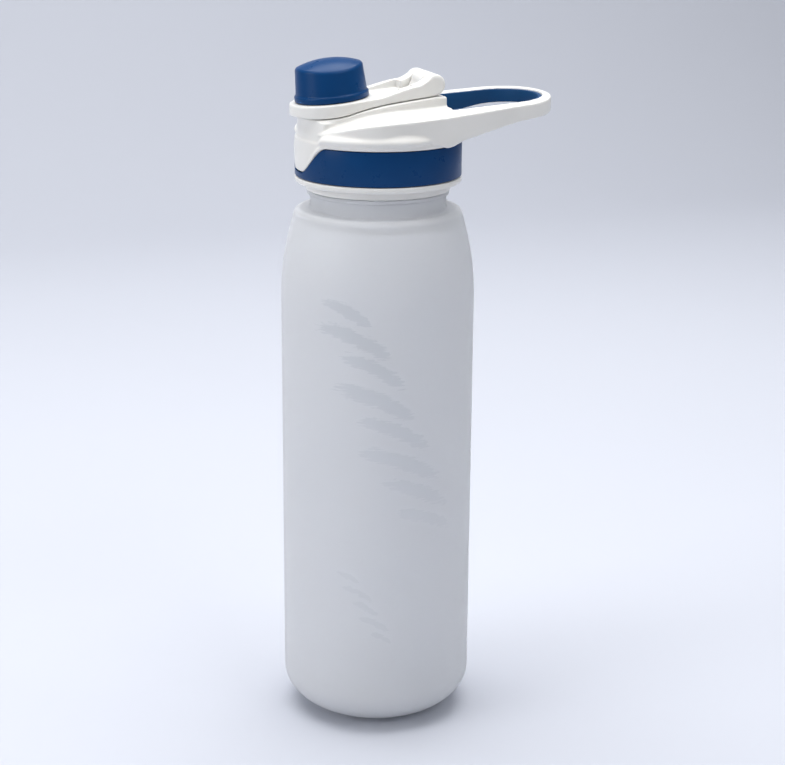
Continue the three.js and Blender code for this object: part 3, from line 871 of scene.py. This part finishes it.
# %% Side lines
def raised(points):
    return smooth_line([(x, shell_base + z) for x, z in points])


underside = raised(
    [
        (collar_radius - 14.5, 0.1),
        (collar_radius - 11.5, 0.9),
        (collar_radius - 8.5, 2.4),
        (collar_radius - 4, 3.6),
        (collar_radius + 3, 5.4),
        (collar_radius + 10.5, 7.2),
        (collar_radius + 18, 8.6),
        (loop_tip + 1, 10.2),
    ]
)
inner_top = raised(
    [
        (-36, 0.2),
        (-30, 1.2),
        (-28, 3.8),
        (-25.9, 5.5),
        (-21.4, 7.4),
        (-12, 10.0),
        (-2.5, 11.4),
        (12, 12.2),
        (loop_start, 12.8),
        (cap_start, 14.5),
        (loop_tip + 1, 15.8),
    ]
)
outer_top = raised(
    [
        (-36, 0.1),
        (-30, 1.0),
        (-28, 3.2),
        (-25.6, 4.8),
        (-15.7, 8.3),
        (-5.3, 9.8),
        (6.5, 10.5),
        (16.2, 11.1),
        (27, 12.2),
        (cap_start, 14.1),
        (loop_tip + 1, 15.4),
    ]
)
loop_side = [(-40, shell_base + 4.2), (4, shell_base + 4.2)] + underside
loop_side += [(loop_tip + 1, hinge_z + 20), (-40, hinge_z + 20)]


def under_parting(drop, low, end):
    line = [(x, z - drop) for x, z in parting]
    return line + [(end, line[-1][1]), (end, low), (line[0][0], low)]


# %% [markdown]
# ## The lid shell's volumes
# The collar carries two mouldings. The lower lip runs round the band's edge and dips with the
# tongue, and above it a slim bulge lies along each side, fading towards the tongue. Both are
# spun, and then their points are lowered or narrowed by a formula of the angle.

# %% Collar volumes
collar = ring(band_inner - shell_wall, collar_radius - 1.0, shell_base, bulge_top)
tongue_inner = collar_radius - tongue_thickness
lip = hung(ring(tongue_inner, collar_radius + 1.0, shell_base, lip_top - 0.2, edge=0.6), lip_top + 1)
for vert in lip.verts:
    radius = vert.co.xy.length
    from_spout = abs(math.degrees(math.atan2(vert.co.y, -vert.co.x)))
    proud = max(0.0, radius - collar_radius)
    vert.co.xy *= (radius - proud * (1 - smoothstep(from_spout, 12, 34))) / radius
tongue_skin = hung(ring(tongue_inner, collar_radius, shell_base, shell_base + 1.5), shell_base + 0.5)
apron_top = shell_base + 8.8
apron_inner = collar_radius - 5
apron_profile = [
    (tongue_inner, shell_base),
    (collar_radius, shell_base),
    (collar_radius - wall_draft, apron_top),
    (apron_inner, apron_top),
    (apron_inner, shell_base + 1),
    (tongue_inner, shell_base + 1),
]
front_half = [(-50, -strap_end), (0, -strap_end), (0, strap_end), (-50, strap_end)]
apron = combined(
    hung(spun(apron_profile, steps=240, loop=True, edge=0), shell_base + 0.5),
    "INTERSECT",
    slab(front_half, shell_base - 20, hinge_z),
)


def side_bulge(side):
    """A slim rounded moulding along one side. It fades as it hangs down beside the tongue."""
    middle = math.radians(112 * side)
    half_length = math.radians(45.5)
    radius = collar_radius + 0.2
    proud = 1.6  # how far it stands out in the middle, and sinks in at its ends
    height = (lip_top + bulge_top) / 2
    section = [
        (radius - 1.4, lip_top + 0.15),
        (radius + 1.3, lip_top + 0.15),
        (radius + proud, lip_top + 0.5),
        (radius + proud, lip_top + 1.2),
        (radius + 1.2, lip_top + 1.9),
        (radius - 0.2, bulge_top - 0.1),
        (radius - 1.4, bulge_top - 0.1),
    ]
    bm = spun(section, steps=160, loop=True, edge=0)
    for vert in bm.verts:
        angle = math.atan2(vert.co.y, vert.co.x)
        away = abs(angle - middle)
        kept = math.sqrt(max(0.0, 1 - (away / half_length) ** 8))
        kept *= smoothstep(180 - abs(math.degrees(angle)), 20, 33)
        out = vert.co.xy.length
        vert.co.xy *= (radius + (out - radius) * kept - proud * (1 - kept)) / out
        vert.co.z = height + (vert.co.z - height) * max(0.2, kept)
        vert.co.z -= tongue_at(vert.co.x, vert.co.y)
    return bm


# %% Body and loop volumes
def across_lid(profile):
    return bar(profile, 3 * collar_radius)


tall = (shell_base - 20, hinge_z + 20)


def lofted(sections):
    """A solid under lines of (x, z) points that stand at several places along Y."""
    low = shell_base - 10
    y, line = sections[0]
    bm = bmesh.new()
    corners = line + [(line[-1][0], low), (line[0][0], low)]
    face = bm.faces.new([bm.verts.new((x, y, z)) for x, z in corners])
    for y, line in sections[1:]:
        inner = [] if y == sections[1][0] else [face]  # left inside by the extrusion
        pushed = bmesh.ops.extrude_face_region(bm, geom=[face])["geom"]
        bmesh.ops.delete(bm, geom=inner, context="FACES_ONLY")
        face = next(f for f in pushed if isinstance(f, bmesh.types.BMFace))
        for vert in pushed:
            if isinstance(vert, bmesh.types.BMVert):
                vert.co.y = y
                if vert.co.z > low + 0.1:
                    vert.co.z = height_on(line, vert.co.x)
    bmesh.ops.recalc_face_normals(bm, faces=bm.faces[:])
    return bm


roof = lofted(
    [
        (-40, outer_top),
        (-collar_radius, outer_top),
        (-strap_end, inner_top),
        (strap_end, inner_top),
        (collar_radius, outer_top),
        (40, outer_top),
    ]
)
loop_body = combined(slab(loop_outline, *tall), "INTERSECT", across_lid(loop_side), roof)
upper_body = combined(
    slab(body_outline(0), shell_base + 1, hinge_z + 20),
    "INTERSECT",
    across_lid(under_parting(GAP, shell_base, loop_start + 1)),
)
shell_form = grown(
    0.34,
    3,
    collar,
    lip,
    tongue_skin,
    apron,
    side_bulge(1),
    side_bulge(-1),
    loop_body,
    upper_body,
)
print("lid form", len(shell_form.faces), "faces")

# %% [markdown]
# The opening of the loop is cut through the form, but stops above the collar. A recess for the
# blue liner is cut beside it, and below come the room for the screw cap, the hollow body and the
# holes for the spout and the pin. The lid's knuckle has a tab that fills the strap's notch.

# %% Cut the lid
liner_thickness = 1.3
loop_top_start = shell_base + 12.6  # the loop's top, for the liner
loop_top_tip = shell_base + 15.6


def collar_block():
    """The room of the collar, which the loop's opening may not reach."""
    return disc(collar_radius + 0.7, shell_base - 20, bulge_top)




def liner_band(top, bottom, outline):
    """The band between the loop's top and its underside, lowered and lifted as asked."""
    start = loop_start - 2
    lower_edge = [(x, z + bottom) for x, z in underside if z > bulge_top]
    band_side = [(start, bulge_top + bottom)] + lower_edge
    band_side += [(loop_tip + 1, loop_top_tip - top), (start, loop_top_start - top)]
    return combined(slab(outline, *tall), "INTERSECT", across_lid(band_side))


grip = combined(slab(grip_outline(0, loop_start), *tall), "DIFFERENCE", collar_block())
recess = combined(
    liner_band(-5, -30, grip_outline(liner_thickness + GAP, loop_start)),
    "DIFFERENCE",
    collar_block(),
)
cap_room = disc(band_inner, shell_base - 20, roof_top + GAP)
body_room = combined(
    slab(body_outline(shell_wall), shell_base, hinge_z + 20),
    "INTERSECT",
    across_lid(under_parting(GAP + shell_wall, shell_base - 1, loop_start + 1)),
)
spout_hole = leaning(disc(spout_radius + GAP, -14, 14))
shell = combined(shell_form, "DIFFERENCE", grip, recess, cap_room, body_room, spout_hole)
RUNNING = 0.35  # gap round the hinge pin and beside the knuckles
pocket_floor_height = 1.8  # above the parting line
tab_end = hinge_x - 9
tab_low = shell_base + 12
tab_floor = height_on(parting, tab_end) + pocket_floor_height
tab_side = [
    (tab_end, tab_low),
    (hinge_x + 3.5, tab_low),
    (hinge_x + 3.5, hinge_z),
    (hinge_x - 2.6, hinge_z + 2.8),
    (hinge_x - knuckle_radius - 1, tab_floor + 1),
    (tab_end, tab_floor),
]
knuckle_half = knuckle_split - RUNNING
knuckle = combined(
    rod(knuckle_radius, knuckle_half, edge=0.6),
    "UNION",
    bar(tab_side, knuckle_half),
)
pin_radius = 1.25
pin_half = strap_hinge - 1.4
shell = grown(0.36, 2, shell, knuckle, kept=0.42)
shell = combined(shell, "DIFFERENCE", rod(pin_radius + RUNNING, pin_half + GAP))
shell_piece = piece("white_lid", shell, "lid", lid_white)
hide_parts("lid_shell")

# %% [markdown]
# ## Loop liner
# A soft blue ribbon lines the loop's opening, where fingers go. It is one more band of the same
# outline, and a small bevel rounds its edges.

# %% Liner
liner_end = loop_start + GAP
liner = combined(
    liner_band(0.3, 0.5, grip_outline(liner_thickness, liner_end)),
    "DIFFERENCE",
    slab(grip_outline(0, liner_end - 3), *tall),
)
bmesh.ops.dissolve_limit(liner, angle_limit=math.radians(0.5), verts=liner.verts[:], edges=liner.edges[:])
round_edges(liner, 0.5)
liner_piece = piece("blue_liner", liner, "lid", grip_blue)
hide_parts("loop_liner")

# %% [markdown]
# ## Spout and seals
# The spout is a short tapered tube with a flange at its foot. A silicone ring seals it on the
# cap's boss, and a plug inside the knob closes its mouth.

# %% Spout, seal, plug
knob_height = 12.2
knob_wall = 1.9
plug_flange = 2
spout_top = knob_height - knob_wall - plug_flange - 2 * GAP
seal_thickness = 1.3
seal_low = boss_top + GAP
seal_high = seal_low + seal_thickness
flange_low = seal_high + GAP
flange_high = flange_low + 1.6
flange_radius = spout_radius + 1.3
spout_profile = [
    (spout_bore, flange_low),
    (flange_radius, flange_low),
    (flange_radius, flange_high),
    (spout_radius, flange_high),
    (spout_radius - 0.8, spout_top - 0.9),
    (spout_radius - 1.0, spout_top - 0.3),
    (spout_radius - 1.4, spout_top),
    (spout_bore, spout_top),
]
spout = leaning(spun(spout_profile, loop=True, edge=0.3, steps=128))
spout_piece = piece("drinking_spout", spout, "lid", lid_white)
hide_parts("drink_spout")

seal = leaning(ring(spout_bore, spout_radius + 0.6, seal_low, seal_high, edge=0.4, steps=96))
seal_piece = piece("spout_ring", seal, "lid", milky_silicone)
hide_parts("spout_seal")

sleeve_outer = 12.0
sleeve_inner = sleeve_outer - 1
plug_seat = spout_top + GAP
plug_low = plug_seat - 3
plug_profile = [
    (0, plug_low),
    (spout_bore - 0.9, plug_low),
    (spout_bore - 0.4, plug_low + 0.8),
    (spout_bore - 0.4, plug_seat),
    (sleeve_inner - GAP, plug_seat),
    (sleeve_inner - GAP, plug_seat + plug_flange),
    (0, plug_seat + plug_flange),
]
plug = leaning(spun(plug_profile, edge=0.3, steps=128))
plug_piece = piece("knob_stopper", plug, "flip", milky_silicone)
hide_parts("knob_plug")

# %% [markdown]
# ## Knob
# The blue knob covers the spout. Its side tapers, a flange rests on the strap, and its top is a
# low dome that meets the side at a crisp crease, so only a small bevel goes there. The crease
# dips a little at the near and far sides, so the top arches across.

# %% Knob
knob_flange = 13.7
knob_top = 12.3
knob_dome = 2.4
sleeve_low = -3.3
dome_radius = (knob_top**2 + knob_dome**2) / (2 * knob_dome)
dome_edge = math.degrees(math.asin((knob_top - 0.5) / dome_radius))
dome = arc(0, knob_height + knob_dome - dome_radius, dome_radius, dome_radius, 90 - dome_edge, 90, 12)
knob_profile = [
    (0, knob_height - knob_wall),
    (sleeve_inner, knob_height - knob_wall),
    (sleeve_inner, sleeve_low),
    (sleeve_outer, sleeve_low),
    (sleeve_outer, 0),
    (knob_flange, 0),
    (knob_flange, 1.9),
    (knob_flange - 0.3, 2.2),
    (knob_flange - 0.6, 2.5),
    (knob_top + 0.1, knob_height - 0.5),
] + dome
knob = spun(knob_profile, edge=0.3, steps=160)
for vert in knob.verts:
    near_top = smoothstep(vert.co.z, 0.6 * knob_height, knob_height - 0.5)
    vert.co.z -= 1.2 * near_top * (vert.co.y / knob_top) ** 2
leaning(knob)
knob_piece = piece("blue_knob", knob, "flip", deep_blue)
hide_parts("knob_cap")

# %% [markdown]
# ## Flip strap
# The strap holds the knob in a round end, then runs up to the hinge with a sunken pocket between
# two side rims. Its two outer knuckles are closed at their ends, and the lid's knuckle and the
# steel pin sit between them.


# %% Strap outlines
def strap_outline(inset, reach):
    round_end = strap_end - inset
    narrow = strap_hinge - inset
    swing = math.degrees(math.asin((round_end - narrow) / (reach - spout_x)))
    half = arc(spout_x, 0, round_end, round_end, 180, 90 - swing, 40)
    half.append((reach, narrow))
    return half + [(x, -y) for x, y in reversed(half[1:])]


def seat_at(x):
    return seat_z - GAP + math.tan(lean) * (x - spout_x)


def strap_top(x, extra=0.0):
    return height_on(parting, x) + strap_thickness + extra


knob_edge = spout_x + knob_flange + 1
top_line = smooth_line(
    [
        (knob_edge, seat_at(knob_edge)),
        ((knob_edge + hinge_x) / 2, strap_top((knob_edge + hinge_x) / 2)),
        (hinge_x - 6, strap_top(hinge_x - 6, 0.4)),
        (hinge_x - 2.2, hinge_z + 2.6),
    ]
)
strap_tip = parting[0][0]
strap_side = parting + [(hinge_x, hinge_z)] + top_line[::-1] + [(strap_tip, seat_at(strap_tip))]

# %% Strap volumes
strap_body = combined(slab(strap_outline(0, hinge_x), *tall), "INTERSECT", across_lid(strap_side))
knuckle_width = strap_hinge - knuckle_split
knuckle_middle = knuckle_split + knuckle_width / 2
strap_knuckles = [
    rod(knuckle_radius, knuckle_width / 2, knuckle_middle * side, edge=1.0) for side in (1, -1)
]
strap_form = grown(0.3, 8, strap_body, *strap_knuckles)

pocket_start = spout_x + knob_flange + 1.2
pocket_end = tab_end + 1
rim_width = 2.2
pocket_outline = [
    (pocket_start, -strap_hinge + rim_width),
    (pocket_end, -strap_hinge + rim_width),
    (pocket_end, strap_hinge - rim_width),
    (pocket_start, strap_hinge - rim_width),
]
pocket_side = [(x, z + pocket_floor_height) for x, z in parting]
pocket_side += [(hinge_x, tall[1]), (strap_tip, tall[1])]
pocket = combined(slab(pocket_outline, *tall), "INTERSECT", across_lid(pocket_side))
notch_start = tab_end - RUNNING
notch_side = [
    (notch_start, shell_base),
    (hinge_x + 8, shell_base),
    (hinge_x + 8, hinge_z + 8),
    (notch_start, hinge_z + 8),
]
notch = bar(notch_side, knuckle_split)
knob_hole = leaning(disc(sleeve_outer + GAP, -12, 12))
strap = combined(strap_form, "DIFFERENCE", pocket, notch, knob_hole)
strap = grown(0.3, 3, strap)
strap = combined(strap, "DIFFERENCE", rod(pin_radius + RUNNING, pin_half + GAP))
strap_piece = piece("white_strap", strap, "flip", lid_white)
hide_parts("flip_strap")

# %% [markdown]
# ## Hinge pin
# A steel pin joins the knuckles. Its ends are chamfered, as cut wire is before it is pressed in.

# %% Pin
pin = rod(pin_radius, pin_half, edge=0.3)
pin_piece = piece("steel_pin", pin, "lid", drawn_steel)
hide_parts("hinge_pin")

# %% [markdown]
# ## Camera
# The view stands two thirds of a metre off and looks down on the bottle, with the loop pointing
# right and slightly away. Its distance gives the calm perspective of a product shot.

# %% Set the camera
camera_data = bpy.data.cameras.new("camera")
camera = bpy.data.objects.new("camera", camera_data)
bpy.context.scene.collection.objects.link(camera)
bpy.context.scene.camera = camera
camera_far = 0.6829
camera_height = 0.3310
look_down = math.radians(16.31)
look_aside = math.radians(0.493)
roll = math.radians(0.4)
camera_data.sensor_width = 36
camera_data.lens = 84.78
camera_data.dof.use_dof = False
back = Vector((-math.sin(view_turn), -math.cos(view_turn), 0))
place = Matrix.Translation(back * camera_far + Vector((0, 0, camera_height)))
heading = Matrix.Rotation(-view_turn - look_aside, 4, "Z")
tip = Matrix.Rotation(math.pi / 2 - look_down, 4, "X")
camera.matrix_world = place @ heading @ tip @ Matrix.Rotation(roll, 4, "Z")
print("camera at", tuple(round(c, 3) for c in camera.matrix_world.translation))

# %% [markdown]
# ## Stage and light
# A pale lavender sheet runs back from the bottle and curves up behind it, so no horizon shows. A
# large soft light hangs overhead, one stands at the left, one high in front, and the world fills in.

# %% Backdrop
sheet = bmesh.new()
bend = 0.6
bend_start = 0.9
curve = [(-3.0, 0.0)]
curve += arc(bend_start, bend, bend, bend, -90, 0, 16)
curve += [(bend_start + bend, 3.0)]
spine = [sheet.verts.new((-3.5, y, z)) for y, z in curve]
for a, b in zip(spine, spine[1:]):
    sheet.edges.new((a, b))
pulled = bmesh.ops.extrude_edge_only(sheet, edges=sheet.edges[:])
moved = [v for v in pulled["geom"] if isinstance(v, bmesh.types.BMVert)]
bmesh.ops.translate(sheet, verts=moved, vec=(7.0, 0, 0))
bmesh.ops.recalc_face_normals(sheet, faces=sheet.faces[:])
sheet_mesh = bpy.data.meshes.new("backdrop")
sheet.to_mesh(sheet_mesh)
sheet.free()
sheet_mesh.shade_smooth()
backdrop = bpy.data.objects.new("backdrop", sheet_mesh)
bpy.context.scene.collection.objects.link(backdrop)
backdrop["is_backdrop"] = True

backdrop_paper, tree, shader, where = new_material("backdrop_paper")
fibres = ranged(tree, noise(tree, where, 3, 4), 0, 1)
tree.links.new(mixed(tree, fibres, (0.57, 0.59, 0.65), (0.56, 0.58, 0.64)), shader.inputs["Base Color"])
shader.inputs["Roughness"].default_value = 0.8
shader.inputs["Specular IOR Level"].default_value = 0.2
sheet_mesh.materials.append(backdrop_paper)

# %% Lights
world = bpy.data.worlds.new("pale_world")
bpy.context.scene.world = world
world.use_nodes = True
sky = world.node_tree.nodes["Background"]
sky.inputs["Color"].default_value = (0.86, 0.88, 0.93, 1)
sky.inputs["Strength"].default_value = 0.33


def softbox(name, place, aim, size, watts):
    data = bpy.data.lights.new(name, "AREA")
    data.shape = "RECTANGLE"
    data.size, data.size_y = size
    data.energy = watts
    lamp = bpy.data.objects.new(name, data)
    bpy.context.scene.collection.objects.link(lamp)
    lamp.location = place
    lamp.rotation_euler = (Vector(aim) - Vector(place)).to_track_quat("-Z", "Y").to_euler()
    return lamp


softbox("overhead", (0, 0.2, 1.3), (0, 0, 0.1), (1.5, 1.2), 25)
softbox("front", (0.7, -1.5, 1.5), (0, 0, 0.1), (1.2, 0.9), 8)
softbox("left", (-1.7, -0.2, 0.75), (0, 0, 0.14), (0.9, 0.9), 10)
bpy.context.scene.view_settings.view_transform = "Standard"

# %% [markdown]
# ## Sizes
# Both boxes, the frame's and the looks', are kept and printed in millimetres. The looks may
# not change the object's size.

# %% Print the boxes and finish
visual_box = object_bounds()
boxes = {
    "cad": [list(corner) for corner in cad_box],
    "visual": [list(corner) for corner in visual_box],
}
for name, box in boxes.items():
    print(name, "box in mm:", [[round(c / MM, 1) for c in corner] for corner in box])
